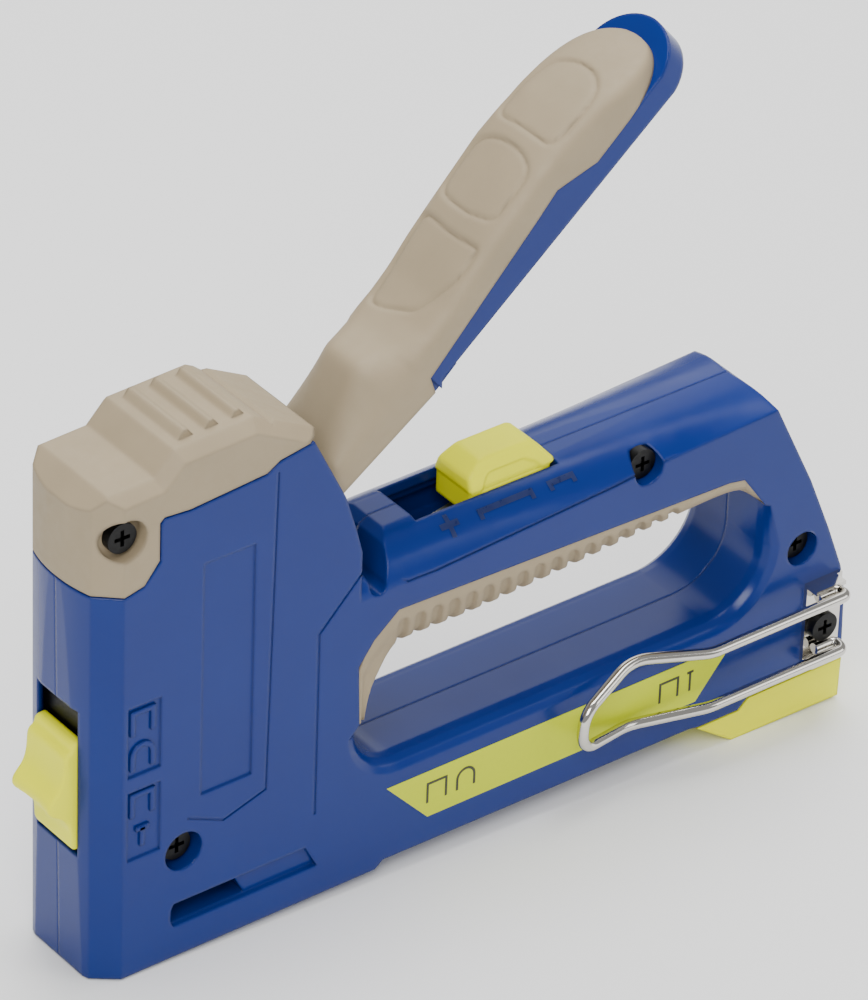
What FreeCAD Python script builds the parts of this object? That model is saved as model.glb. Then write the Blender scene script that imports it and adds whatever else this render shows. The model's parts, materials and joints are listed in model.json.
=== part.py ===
import FreeCAD, Part
import math
import os

import Sketcher

Vector = FreeCAD.Vector
Placement = FreeCAD.Placement
Rotation = FreeCAD.Rotation

os.makedirs("parts", exist_ok=True)
doc = FreeCAD.newDocument("staple_gun")

# ---------------------------------------------------------------------------
# Driving dimensions, in millimetres and degrees.
# X runs from the nose to the tail, Z is up, Y = 0 is the plane where the two
# shells meet, and Z = 0 is the flat striking face under the nose.
# ---------------------------------------------------------------------------
DIMENSIONS = {
    "half_width": 14.3,
    "shell_wall": 2.2,
    "body_length": 195.6,
    "nose_front": -6.1,
    "nose_top": 96.8,
    "grip_top": 81.1,
    "arm_bottom": 1.7,
    "arm_top": 27.0,
    "pivot_x": 38.0,
    "pivot_z": 83.0,
    "pivot_radius": 3.0,
    "lever_angle": 40.2,
    "lever_half_width": 11.2,
    "grip_half_width": 11.5,
    "striker_x": 8.0,
    "lift_pin_x": 4.0,
    "lift_pin_z": 71.0,
    "lift_pin_radius": 2.4,
    "plunger_bottom": 62.0,
    "plunger_top": 76.0,
    "plunger_half_width": 7.2,
    "spring_top": 117.0,
    "spring_wire": 2.0,
    "spring_radius": 6.2,
    "channel_half_width": 6.9,
    "channel_top": 15.8,
    "channel_wall": 1.2,
    "rail_half_width": 4.4,
    "rail_bottom": 3.0,
    "rail_top": 13.0,
    "rod_radius": 1.5,
    "rod_z": 7.6,
    "clip_wire_radius": 1.3,
    "clip_upper_z": 25.2,
    "clip_lower_z": 10.7,
    "clip_standoff": 20.3,
    "screw_head_radius": 3.5,
    "screw_shank_radius": 1.5,
    "slot_half_width": 6.5,
    "slot_front": 79.5,
    "slot_rear": 117.4,
}

sheet = doc.addObject("Spreadsheet::Sheet", "Sizes")
for row, (alias, number) in enumerate(DIMENSIONS.items(), start=1):
    sheet.set(f"A{row}", alias)
    sheet.set(f"B{row}", str(number))
    sheet.setAlias(f"B{row}", alias)
doc.recompute()


class Size:
    """A number that carries the spreadsheet expression it comes from."""

    def __init__(self, value, text, bound):
        self.value = value
        self.text = text
        self.bound = bound

    def joined(self, other, sign, value):
        other = as_size(other)
        return Size(value, f"({self.text} {sign} {other.text})", self.bound or other.bound)

    def __add__(self, other):
        return self.joined(other, "+", self.value + as_size(other).value)

    def __radd__(self, other):
        return as_size(other) + self

    def __sub__(self, other):
        return self.joined(other, "-", self.value - as_size(other).value)

    def __rsub__(self, other):
        return as_size(other) - self

    def __mul__(self, other):
        return self.joined(other, "*", self.value * as_size(other).value)

    def __rmul__(self, other):
        return as_size(other) * self

    def __neg__(self):
        return Size(-self.value, f"(0 - {self.text})", self.bound)


def as_size(number):
    """A plain number as a Size that no cell drives."""
    if isinstance(number, Size):
        return number
    return Size(float(number), f"({float(number)})", False)


def dim(alias):
    """The driving dimension in the cell with this alias."""
    return Size(float(sheet.get(alias)), f"Sizes.{alias}", True)


def bind(target, path, size):
    """Ties one property of an object to its expression."""
    target.setExpression(path, as_size(size).text)


class Arc:
    """The rest of an outline's arc: it starts at the point before it."""

    def __init__(self, middle, end):
        self.middle = middle
        self.end = end


class Circle:
    """A full circle as a loop of its own."""

    def __init__(self, across, up, radius):
        self.centre = (across, up)
        self.radius = radius


def flat(point):
    """A sketch point as a vector."""
    return Vector(as_size(point[0]).value, as_size(point[1]).value, 0)


def fix_point(sketch, geometry, end, point):
    """Dimensions a sketch point from the origin wherever a cell drives it."""
    for kind, number in (("DistanceX", point[0]), ("DistanceY", point[1])):
        size = as_size(number)
        if size.bound and abs(size.value) > 1e-9:
            index = sketch.addConstraint(Sketcher.Constraint(kind, -1, 1, geometry, end, size.value))
            bind(sketch, f"Constraints[{index}]", size)


def draw_circle(sketch, circle):
    """Draws a circle, with its centre and radius dimensioned."""
    radius = as_size(circle.radius)
    ring = Part.Circle(flat(circle.centre), Vector(0, 0, 1), radius.value)
    geometry = sketch.addGeometry(ring, False)
    fix_point(sketch, geometry, 3, circle.centre)
    index = sketch.addConstraint(Sketcher.Constraint("Radius", geometry, radius.value))
    bind(sketch, f"Constraints[{index}]", radius)


def draw_outline(sketch, outline):
    """Draws a closed outline of lines and arcs, its corners joined and dimensioned."""
    here = outline[0]
    joints = []
    closing = [] if isinstance(outline[-1], Arc) and outline[-1].end is outline[0] else [outline[0]]
    for step in list(outline[1:]) + closing:
        if isinstance(step, Arc):
            there = step.end
            curve = Part.Arc(flat(here), flat(step.middle), flat(there))
        else:
            there = step
            curve = Part.LineSegment(flat(here), flat(there))
        geometry = sketch.addGeometry(curve, False)
        begins = 1
        if sketch.getPoint(geometry, 1).distanceToPoint(flat(here)) > 1e-6:
            begins = 2
        fix_point(sketch, geometry, begins, here)
        joints.append((geometry, begins, 3 - begins))
        here = there
    for position, (geometry, begins, ends) in enumerate(joints):
        before = joints[position - 1]
        sketch.addConstraint(Sketcher.Constraint("Coincident", before[0], before[2], geometry, begins))


PLANES = {
    "XY": ("XY_Plane", 1),
    "XZ": ("XZ_Plane", -1),
    "YZ": ("YZ_Plane", 1),
}


class Piece:
    """One sub-part: a PartDesign body made of pads and pockets on its origin planes."""

    def __init__(self, label, placement=None):
        self.body = doc.addObject("PartDesign::Body", label)
        self.body.Label = label
        if placement is not None:
            self.body.Placement = placement
        self.steps = 0

    def new(self, kind, word):
        """Adds a numbered feature to the body."""
        self.steps += 1
        return self.body.newObject(kind, f"{self.body.Label}_{word}_{self.steps}")

    def sketch(self, plane, level, loops):
        """A sketch on an origin plane, moved along its world axis to the level."""
        role, sense = PLANES[plane]
        drawing = self.new("Sketcher::SketchObject", "sketch")
        base = [item for item in self.body.Origin.OriginFeatures if item.Role == role][0]
        drawing.AttachmentSupport = [(base, "")]
        drawing.MapMode = "FlatFace"
        offset = as_size(level) * sense
        drawing.AttachmentOffset = Placement(Vector(0, 0, offset.value), Rotation())
        if offset.bound:
            bind(drawing, "AttachmentOffset.Base.z", offset)
        for loop in loops:
            if isinstance(loop, Circle):
                draw_circle(drawing, loop)
            else:
                draw_outline(drawing, loop)
        return drawing

    def volume(self):
        """The body's volume so far, once its newest feature is known to be sound."""
        doc.recompute()
        tip = self.body.Tip
        if tip is None:
            return 0.0
        if "Invalid" in tip.State or "Error" in tip.State or tip.Shape.isNull():
            raise RuntimeError(f"{tip.Name} failed: {tip.State}")
        return self.body.Shape.Volume

    def pad(self, plane, low, high, *loops):
        """Adds material between two levels of a plane's axis."""
        sense = PLANES[plane][1]
        level = low if sense > 0 else high
        drawing = self.sketch(plane, level, loops)
        feature = self.new("PartDesign::Pad", "pad")
        feature.Profile = drawing
        length = as_size(high) - low
        feature.Length = length.value
        bind(feature, "Length", length)
        self.volume()
        return self

    def pocket(self, plane, low, high, *loops):
        """Removes material between two levels of a plane's axis."""
        before = self.volume()
        sense = PLANES[plane][1]
        level = high if sense > 0 else low
        drawing = self.sketch(plane, level, loops)
        feature = self.new("PartDesign::Pocket", "pocket")
        feature.Profile = drawing
        length = as_size(high) - low
        feature.Length = length.value
        bind(feature, "Length", length)
        if self.volume() > before - 1e-3:
            raise RuntimeError(f"{feature.Name} cuts nothing")
        return self

    def loft(self, kind, plane, sections):
        """Lofts through (level, outline) sections, adding or cutting material."""
        drawings = [self.sketch(plane, level, [outline]) for level, outline in sections]
        feature = self.new(f"PartDesign::{kind}Loft", "loft")
        feature.Profile = drawings[0]
        feature.Sections = drawings[1:]
        feature.Ruled = True
        self.volume()
        return self

    def chamfer(self, size, chosen):
        """Chamfers every edge that the test picks."""
        doc.recompute()
        tip = self.body.Tip
        names = [
            f"Edge{number}"
            for number, edge in enumerate(tip.Shape.Edges, start=1)
            if chosen(edge.BoundBox)
        ]
        if not names:
            raise RuntimeError(f"no edge to chamfer on {self.body.Label}")
        feature = self.new("PartDesign::Chamfer", "chamfer")
        feature.Base = (tip, names)
        feature.Size = as_size(size).value
        bind(feature, "Size", size)
        self.volume()
        return self


def box(low_x, high_x, low_y, high_y):
    """A rectangular loop."""
    return [(low_x, low_y), (high_x, low_y), (high_x, high_y), (low_x, high_y)]


def sided(side, inner, outer):
    """The Y levels of something between two distances from the centre plane, on one side."""
    if side < 0:
        return -as_size(outer), -as_size(inner)
    return as_size(inner), as_size(outer)


# ---------------------------------------------------------------------------
# Places that several pieces share
# ---------------------------------------------------------------------------
HALF = dim("half_width")
INSIDE = HALF - dim("shell_wall")
GRIP_TOP = dim("grip_top")
NARROW_INSIDE = 9.2
OUTSIDE = HALF + 2
SIDE_SCREWS = {
    "nose": (15.5, 26.6, 4.7),
    "grip": (136.5, 75.8, 3.9),
    "tail": (181.7, 37.7, 4.2),
}
CAP_SCREW = (0.5, 110.0, 5.0)
HEAD_SEAT = 9.6
CAP_HEAD_SEAT = 10.3
CLIP_SCREW = (187.2, 16.4)

# The cap's lower edge, from the nose's front to the lever opening.
CAP_EDGE = [
    (-7.25, 97.2),
    (0, 96.7),
    (4.8, 97.8),
    (8.5, 102.5),
    (8.5, 111.6),
    (9.6, 112.6),
    (16.0, 112.1),
    (35.0, 113.5),
    (38.3, 115.5),
    (47.4, 117.0),
]
CAP_SEAM = 0.4

# The finger opening's upper edge on the shells, which the insert lines.
INSERT_EDGE = [
    (60.6, 40.4),
    (60.0, 55.3),
    (63.8, 60.6),
    (70.1, 65.9),
    (159.4, 63.5),
    (163.6, 62.7),
    (170.0, 53.7),
]


def nose_corner(side):
    """The plan outline outside the nose's bowed front and its slanted corner."""
    return [
        (-10, side * 0.0),
        (-7.25, side * 0.0),
        Arc((-6.85, side * 5.2), (-5.6, side * 10.2)),
        (0.0, side * (HALF + 0.1)),
        (0.0, side * 18.0),
        (-10, side * 18.0),
    ]


# ---------------------------------------------------------------------------
# Housing
# ---------------------------------------------------------------------------
def shell_outline():
    """The side outline of one blue shell."""
    seam = [(x + CAP_SEAM * (8 < x < 9), z - CAP_SEAM) for x, z in CAP_EDGE[1:-1]]
    return [
        (dim("nose_front"), 0),
        (-7.2, dim("nose_top")),
        *seam,
        (46.9, 116.6),
        (55.3, 99.9),
        (58.4, 90.3),
        (62.7, 74.4),
        Arc((64.7, 71.6), (67.0, 73.8)),
        (69.6, 79.6),
        (72.0, GRIP_TOP),
        (168.6, GRIP_TOP),
        Arc((170.3, 80.2), (171.4, 78.6)),
        (182.8, 55.3),
        (189.0, 40.4),
        (193.4, 28.7),
        (195.0, 21.3),
        (dim("body_length"), 3.3),
        (168.6, 3.1),
        (166.0, 0.7),
        (155.0, 0.7),
        (152.0, 1.2),
        (68.0, dim("arm_bottom")),
        (66.0, 0),
    ]


OPENING_REAR = 171.6
OPENING_FRONT = 61.2
REAR_BEND = 14.4
FRONT_BEND = 10.3
DIAGONAL = math.sqrt(0.5)


def lower_bends(spread):
    """The finger opening's rear bend, floor and front bend, widened by a spread."""
    floor = dim("arm_top")
    rear_radius = REAR_BEND + spread
    front_radius = FRONT_BEND + spread
    rear_centre = (OPENING_REAR - REAR_BEND, floor + REAR_BEND)
    front_centre = (OPENING_FRONT + FRONT_BEND, floor + FRONT_BEND)
    return [
        (OPENING_REAR + spread, rear_centre[1]),
        Arc(
            (rear_centre[0] + rear_radius * DIAGONAL, rear_centre[1] - rear_radius * DIAGONAL),
            (rear_centre[0], floor - spread),
        ),
        (front_centre[0], floor - spread),
        Arc(
            (front_centre[0] - front_radius * DIAGONAL, front_centre[1] - front_radius * DIAGONAL),
            (OPENING_FRONT - spread, front_centre[1]),
        ),
    ]


def finger_opening():
    """The side outline of the hole for the fingers, insert included."""
    return [*INSERT_EDGE, (OPENING_REAR, 52.8), *lower_bends(0.0)]


def opening_lip(spread):
    """The rounded lip under the opening, which fades out where the insert begins."""
    front = INSERT_EDGE[0][0]
    return [(OPENING_REAR, 52.6), *lower_bends(spread), (front, 40.2), (90.0, 45.0), (150.0, 45.0)]


def crown(side, groove):
    """What is cut away above the grip's rounded top, down to the side groove."""
    return [
        (0, GRIP_TOP),
        Arc((side * 9.0, 79.5), (side * (HALF + 0.02), groove)),
        (side * 18.0, groove),
        (side * 18.0, 88.0),
        (0, 88.0),
    ]


def side_line(shell, side, points, width, depth):
    """Engraves a fine line along points on the shell's side face."""
    for (ax, az), (bx, bz) in zip(points[:-1], points[1:]):
        length = math.hypot(bx - ax, bz - az)
        ux, uz = (bx - ax) / length * width / 2, (bz - az) / length * width / 2
        strip = [
            (ax - ux + uz, az - uz - ux),
            (bx + ux + uz, bz + uz - ux),
            (bx + ux - uz, bz + uz + ux),
            (ax - ux - uz, az - uz + ux),
        ]
        shell.pocket("XZ", *sided(side, HALF - depth, OUTSIDE), strip)


def build_shell(label, side):
    """One moulded half of the housing, from the nose to the tail."""
    shell = Piece(label)
    shell.pad("XZ", *sided(side, 0, HALF), shell_outline(), finger_opening())
    lip = [(HALF + 0.05, 3.4), (HALF - 0.9, 1.5), (HALF - 2.3, 0.45), (HALF - 4.2, 0.0)]
    shell.loft("Subtractive", "XZ", [(side * depth, opening_lip(spread)) for depth, spread in lip])
    shell.loft(
        "Subtractive",
        "YZ",
        [
            (60.0, crown(side, 71.6)),
            (80.0, crown(side, 72.4)),
            (127.5, crown(side, 75.4)),
            (176.0, crown(side, 77.8)),
        ],
    )
    shell.pocket("XY", -1, 99, nose_corner(side))

    # Hollow for the striker and the lever, open at the top and at the back.
    shell.pocket(
        "XZ",
        *sided(side, -1, NARROW_INSIDE),
        [(-3.2, 55.3), (-3.2, 119), (16, 119), (16, 55.3)],
    )
    shell.pocket(
        "XZ",
        *sided(side, -1, INSIDE),
        [
            (1.6, 55.3),
            (1.6, 119),
            (60.0, 119),
            (66.4, 90.0),
            (66.4, 76.0),
            (58.0, 67.5),
            (46.0, 60.5),
            (46.0, 55.3),
        ],
    )
    # Track for the nose plate and the driver blade.
    shell.pocket("XZ", *sided(side, -1, 8.7), box(-4.25, -1.5, -1, 70.3))
    # Cells in the lower nose, between the ribs that carry the screw boss.
    shell.pocket("XZ", *sided(side, -1, INSIDE - 0.5), box(2.0, 8.6, 19.5, 52.5))
    shell.pocket("XZ", *sided(side, -1, INSIDE - 0.5), box(10.2, 21.4, 34.0, 52.5))
    shell.pocket("XZ", *sided(side, -1, INSIDE - 0.5), box(23.0, 46.0, 19.5, 52.5))
    # Tunnel for the magazine, open below and at the tail.
    shell.pocket(
        "XZ",
        *sided(side, -1, dim("channel_half_width") + 0.15),
        box(-2.0, 200.0, -1, dim("channel_top") + 0.2),
    )
    # Cells in the lower arm.
    for start in (69.0, 90.0, 111.0, 132.0):
        shell.pocket("XZ", *sided(side, -1, INSIDE - 0.2), box(start, start + 19, 4.0, 23.8))
    # Cells in the grip and in the tail post.
    shell.pocket("XZ", *sided(side, -1, 10.6), box(75.0, 129.0, 68.0, 74.8))
    shell.pocket("XZ", *sided(side, -1, 8.4), box(75.0, 125.0, 74.8, 77.8))
    shell.pocket("XZ", *sided(side, -1, 10.6), box(144.0, 159.0, 67.5, 74.8))
    shell.pocket(
        "XZ",
        *sided(side, -1, INSIDE - 0.5),
        [(161, 67.5), (166.4, 66), (174.6, 54), (176.2, 45), (183.8, 45), (171.6, 74.8), (161, 74.8)],
    )
    shell.pocket(
        "XZ",
        *sided(side, -1, INSIDE - 0.5),
        [(156, 18.5), (191.8, 18.5), (190.6, 28.5), (173.5, 29.5), (168, 24), (156, 23)],
    )

    # Slot in the grip's top for the power slider.
    shell.pocket(
        "XY",
        77.0,
        84.0,
        box(dim("slot_front"), dim("slot_rear"), *sorted_pair(side, dim("slot_half_width") + 0.2)),
    )
    # Slot in the nose's front for the selector, with a wider seat for its flange.
    shell.pocket("YZ", -9, -4, box(*sorted_pair(side, 7.2), 30.2, 67.0))
    shell.pocket("YZ", -5.3, -4, box(*sorted_pair(side, 8.3), 29.2, 69.2))

    # Lugs that carry the cap's screws, on a tongue behind the cap's front wall.
    shell.pad("XZ", *sided(side, 0, 9.1), box(-4.8, -3.3, 92.0, 114.5))
    shell.pad("XZ", *sided(side, 7.6, 9.1), box(-4.0, 4.6, 105.0, 114.5))
    shell.pocket("XZ", *sided(side, 7.0, 9.4), Circle(*CAP_SCREW[:2], 1.45))

    # Blind holes for the lever's pivot pin.
    shell.pocket(
        "XZ",
        *sided(side, INSIDE - 1, INSIDE + 1.0),
        Circle(dim("pivot_x"), dim("pivot_z"), dim("pivot_radius")),
    )
    return shell


def sorted_pair(side, reach):
    """Low and high Y of a half-slot that reaches just past the centre plane."""
    if side < 0:
        return -as_size(reach), as_size(0.5)
    return as_size(-0.5), as_size(reach)


def engrave_side(shell, side):
    """Moulded lines and panels on a shell's outer side face."""
    groove = [(68.6, 75.0), (72.3, 72.3), (79.7, 72.2), (127.5, 75.1), (141.3, 76.4), (159.0, 78.6)]
    side_line(shell, side, groove, 0.5, 0.35)
    side_line(shell, side, [(49.4, 22.0), (49.4, 68.0), (60.6, 79.6)], 0.6, 0.25)
    side_line(shell, side, [(16.6, 34.6), (25.6, 30.4), (36.4, 33.8), (38.0, 112.4)], 0.5, 0.25)
    # Tall plain panel.
    shell.pocket("XZ", *sided(side, HALF - 0.45, OUTSIDE), box(19.7, 32.6, 39.3, 97.2))
    # Window over the staple channel, and the shallow recess behind it.
    shell.pocket(
        "XZ",
        *sided(side, HALF - 1.2, OUTSIDE),
        [(13.2, 7.8), (50.4, 7.8), (47.2, 13.8), (13.2, 13.8), Arc((12.2, 10.8), (13.2, 7.8))],
    )
    shell.pocket("XZ", *sided(side, 6.0, OUTSIDE), [(13.4, 8.2), (32.0, 8.2), (29.4, 13.4), (13.4, 13.4)])


left = build_shell("left_shell", -1)
engrave_side(left, -1)
for low, high in ((29.8, 47.3), (51.0, 68.5)):
    left.pocket("XZ", *sided(-1, HALF - 0.5, OUTSIDE), box(1.1, 9.4, low, high))
for across, up, recess in SIDE_SCREWS.values():
    left.pocket("XZ", *sided(-1, HEAD_SEAT, OUTSIDE), Circle(across, up, recess))
    left.pocket("XZ", *sided(-1, -1, HEAD_SEAT + 1), Circle(across, up, 1.7))
left.pocket("XZ", *sided(-1, 8.0, OUTSIDE), Circle(*CLIP_SCREW, 1.45))

right = build_shell("right_shell", 1)
engrave_side(right, 1)
for across, up, recess in SIDE_SCREWS.values():
    right.pocket("XZ", *sided(1, -1, 8.2), Circle(across, up, dim("screw_shank_radius")))


def build_cap():
    """The soft cap over the nose, hollow, with gripping ribs on its top."""
    cap = Piece("top_cap")
    outline = [
        *CAP_EDGE,
        (48.6, 118.2),
        (33.0, 126.6),
        (13.5, 126.0),
        (8.7, 121.0),
        (-2.6, 120.6),
        (-7.1, 116.2),
    ]
    cap.pad("XZ", -HALF, HALF, outline)
    cap.chamfer(
        2.6,
        lambda b: b.YLength < 1e-6 and b.ZMin > 117.5 and b.XLength > 4,
    )
    for side in (-1, 1):
        cap.pocket("XY", 90, 130, nose_corner(side))
    for start in (16.0, 22.4, 28.8):
        rib = [(start - 0.6, 125.4), (start + 1.4, 127.9), (start + 2.4, 127.9), (start + 4.4, 125.4)]
        cap.pad("XZ", -9.6, 9.6, rib)
    # The crease between the ribbed top and the band behind it.
    cap.pocket("XZ", -HALF, HALF, [(34.8, 125.7), (37.6, 123.2), (38.8, 123.9), (38.8, 128.0), (34.8, 128.0)])
    cap.pocket(
        "XZ",
        -NARROW_INSIDE,
        NARROW_INSIDE,
        [
            (-4.9, 90),
            (-4.9, 115.4),
            (-1.9, 118.5),
            (9.7, 118.5),
            (14.5, 123.5),
            (32.4, 124.0),
            (44.0, 117.8),
            (44.0, 90),
        ],
    )
    cap.pocket(
        "XZ",
        -INSIDE,
        INSIDE,
        [(6.6, 90), (6.6, 117.6), (9.7, 118.0), (14.5, 122.0), (32.4, 122.5), (44.0, 116.4), (44.0, 90)],
    )
    for side in (-1, 1):
        across, up, recess = CAP_SCREW
        cap.pocket("XZ", *sided(side, CAP_HEAD_SEAT, OUTSIDE), Circle(across, up, recess))
        cap.pocket("XZ", *sided(side, 9.0, 12.0), Circle(across, up, 1.6))
    return cap


build_cap()


def build_insert():
    """The soft liner on the front and top of the finger opening."""
    insert = Piece("finger_insert")
    inner = [
        (171.2, 52.4),
        (166.0, 57.2),
        (160.0, 58.0),
        (150.0, 57.2),
        (118.0, 53.8),
        (90.0, 52.0),
        (78.0, 53.2),
        Arc((67.0, 51.0), (62.4, 41.0)),
    ]
    insert.pad("XZ", -HALF, HALF, [*INSERT_EDGE, *inner])
    for side in (-1, 1):
        flank = [
            (side * (HALF + 0.1), 61.6),
            Arc((side * 12.6, 55.8), (side * 7.4, 51.4)),
            (side * 7.4, 48.0),
            (side * 17.0, 48.0),
            (side * 17.0, 61.6),
        ]
        insert.pocket("YZ", 76.0, 180.0, flank)
        lead = [(side * (HALF + 0.1), 60.6), (side * 12.0, 56.0), (side * 12.0, 39.0), (side * 17.0, 39.0)]
        insert.pocket("YZ", 62.0, 76.0, [*lead, (side * 17.0, 60.6)])
    # Finger ribs across the underside.
    for number in range(17):
        across = 73.0 + 4.6 * number
        under = 52.0 + 0.085 * max(0.0, across - 90.0) + 0.09 * max(0.0, 90.0 - across)
        insert.pocket("XZ", -HALF, HALF, Circle(across, under - 0.9, 1.5))
    return insert


build_insert()

nose_plate = Piece("nose_plate")
nose_plate.pad("XZ", -8.6, 8.6, box(-4.2, -3.0, 0, 70))

channel = Piece("magazine_channel")
channel.pad(
    "XZ",
    -dim("channel_half_width"),
    dim("channel_half_width"),
    box(-1.5, 152.0, 0, dim("channel_top")),
)
channel.pocket(
    "XZ",
    -(dim("channel_half_width") - dim("channel_wall")),
    dim("channel_half_width") - dim("channel_wall"),
    box(-3.0, 160.0, dim("channel_wall"), dim("channel_top") - dim("channel_wall")),
)
channel.pocket("XZ", -10, 10, box(14.0, 29.0, 8.4, 13.2))

bumper = Piece("bumper")
bumper.pad("XZ", -9.0, 9.0, box(-1.4, 15.8, 55.4, dim("plunger_bottom") - 0.4))
bumper.chamfer(1.2, lambda b: b.YLength > 10 and b.ZMin > 61)

seat = Piece("spring_seat")
seat.pad("XY", dim("spring_top"), dim("spring_top") + 1.4, Circle(dim("striker_x"), 0, 7.3))
seat.pad("XY", dim("spring_top") - 3.0, dim("spring_top"), Circle(dim("striker_x"), 0, 4.6))


def screw(piece, side, across, up, seat_depth, tip_depth):
    """A pan-head screw along Y, its cross recess facing out."""
    head = dim("screw_head_radius")
    piece.pad("XZ", *sided(side, seat_depth, seat_depth + 2.2), Circle(across, up, head))
    piece.pad("XZ", *sided(side, tip_depth, seat_depth), Circle(across, up, dim("screw_shank_radius") - 0.05))
    for long, short in ((1.9, 0.45), (0.45, 1.9)):
        cross = box(across - long, across + long, up - short, up + short)
        piece.pocket("XZ", *sided(side, seat_depth + 1.0, seat_depth + 3.0), cross)


housing_screws = Piece("housing_screws")
for across, up, recess in SIDE_SCREWS.values():
    screw(housing_screws, -1, across, up, HEAD_SEAT, -8.0)

cap_screws = Piece("cap_screws")
for side in (-1, 1):
    screw(cap_screws, side, *CAP_SCREW[:2], CAP_HEAD_SEAT, 7.8)

pivot_pin = Piece("pivot_pin")
pivot_pin.pad(
    "XZ",
    -(INSIDE + 0.9),
    INSIDE + 0.9,
    Circle(dim("pivot_x"), dim("pivot_z"), dim("pivot_radius")),
)

side_label = Piece("side_label")
side_label.pad("XZ", -(HALF + 0.15), -HALF, [(68.4, 20.3), (79.6, 8.3), (153.3, 8.3), (163.0, 20.1)])

# ---------------------------------------------------------------------------
# Belt clip
# ---------------------------------------------------------------------------
bracket = Piece("clip_bracket")
bracket.pad("XZ", -(HALF + 1.0), -HALF, box(183.2, 193.2, 7.6, 26.8))
bracket.pad("XZ", -(HALF + 4.2), -(HALF + 0.9), box(183.2, 191.6, 26.8, 27.8))
bracket.pad("XZ", -(HALF + 1.0), -HALF, box(183.2, 193.2, 26.5, 27.8))
bracket.pad("XZ", -(HALF + 4.2), -(HALF + 0.9), box(183.2, 191.6, 7.0, 8.0))
bracket.pad("XZ", -(HALF + 1.0), -HALF, box(183.2, 193.2, 7.0, 7.8))
bracket.pocket("XZ", -20, -10, Circle(*CLIP_SCREW, 1.6))

clip_screw = Piece("clip_screw")
screw(clip_screw, -1, *CLIP_SCREW, HALF + 1.0, 8.2)


def rounded_path(points, radii):
    """A wire of straight runs with an arc at each inner point."""
    edges = []
    here = points[0]
    for corner, after, radius in zip(points[1:-1], points[2:], radii):
        back = (here - corner).normalize()
        ahead = (after - corner).normalize()
        half_turn = (math.pi - back.getAngle(ahead)) / 2
        reach = radius * math.tan(half_turn)
        start = corner + back * reach
        end = corner + ahead * reach
        inward = (back + ahead).normalize()
        middle = corner + inward * (radius / math.cos(half_turn) - radius)
        edges.append(Part.LineSegment(here, start).toShape())
        edges.append(Part.Arc(start, middle, end).toShape())
        here = end
    edges.append(Part.LineSegment(here, points[-1]).toShape())
    return Part.Wire(edges)


def build_clip_wire():
    """The bent wire of the belt clip: two runs joined by a loop at the front."""
    far = -dim("clip_standoff").value
    near = -(HALF.value + 1.7)
    upper = dim("clip_upper_z").value
    lower = dim("clip_lower_z").value
    points = [
        Vector(185.0, near - 0.9, upper - 0.4),
        Vector(190.6, near - 0.9, upper - 0.4),
        Vector(190.6, far, upper),
        Vector(152.0, far, upper),
        Vector(133.0, near, upper + 3.4),
        Vector(117.2, far, upper - 2.0),
        Vector(116.4, far, lower + 3.0),
        Vector(133.0, near, lower + 0.6),
        Vector(152.0, far, lower),
        Vector(190.6, far, lower),
        Vector(190.6, near - 0.9, lower + 0.4),
        Vector(185.0, near - 0.9, lower + 0.4),
    ]
    radii = [1.45, 1.45, 14.0, 12.0, 5.0, 5.0, 12.0, 14.0, 1.45, 1.45]
    path = rounded_path(points, radii)
    radius = dim("clip_wire_radius").value
    ring = Part.Wire([Part.makeCircle(radius, points[0], points[1] - points[0])])
    return path.makePipeShell([ring], True, False)


belt_clip = doc.addObject("Part::Feature", "belt_clip")
belt_clip.Shape = build_clip_wire()

# ---------------------------------------------------------------------------
# Striker
# ---------------------------------------------------------------------------
STRIKER_X = dim("striker_x")
plunger = Piece("plunger")
plunger.pad(
    "XZ",
    -dim("plunger_half_width"),
    dim("plunger_half_width"),
    box(-1.7, 15.8, dim("plunger_bottom"), dim("plunger_top")),
)
plunger.pad("XY", dim("plunger_top"), dim("plunger_top") + 13.0, Circle(STRIKER_X, 0, 4.4))
plunger.pocket("XZ", -8, 8, Circle(dim("lift_pin_x"), dim("lift_pin_z"), dim("lift_pin_radius")))

blade = Piece("driver_blade")
blade.pad("XZ", -5.8, 5.8, box(-2.9, -1.7, 1.2, 74.0))

lift_pin = Piece("lift_pin")
lift_pin.pad("XZ", -9.1, 9.1, Circle(dim("lift_pin_x"), dim("lift_pin_z"), dim("lift_pin_radius")))


def coil(label, radius, wire, start, length, turns, direction):
    """A helical spring swept round an axis, with plain ends."""
    helix = Part.makeHelix(length / turns, length, radius)
    ring = Part.Wire([Part.makeCircle(wire / 2, Vector(radius, 0, 0), Vector(0, 1, 0))])
    spring = Part.Wire(helix.Edges).makePipeShell([ring], True, True)
    item = doc.addObject("Part::Feature", label)
    item.Shape = spring
    item.Placement = Placement(start, Rotation(Vector(0, 0, 1), direction))
    return item


SPRING_WIRE = dim("spring_wire").value
coil(
    "main_spring",
    dim("spring_radius").value,
    SPRING_WIRE,
    Vector(STRIKER_X.value, 0, dim("plunger_top").value + SPRING_WIRE / 2 + 0.05),
    dim("spring_top").value - dim("plunger_top").value - SPRING_WIRE - 0.1,
    7,
    Vector(0, 0, 1),
)

# ---------------------------------------------------------------------------
# Lever, drawn along its own axis: X along the lever from the pivot, Z across it
# ---------------------------------------------------------------------------
PIVOT = Vector(dim("pivot_x").value, 0, dim("pivot_z").value)
LEVER_TURN = Rotation(Vector(0, 1, 0), -dim("lever_angle").value)
LEVER_PLACE = Placement(PIVOT, LEVER_TURN)
LEVER_TIP = 141.0
GRIP_TIP = 136.0
LEVER_HALF = dim("lever_half_width")
GRIP_HALF = dim("grip_half_width")
FRAME_HALF = GRIP_HALF - 1.25
FRAME_INSIDE = FRAME_HALF - 1.45

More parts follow.
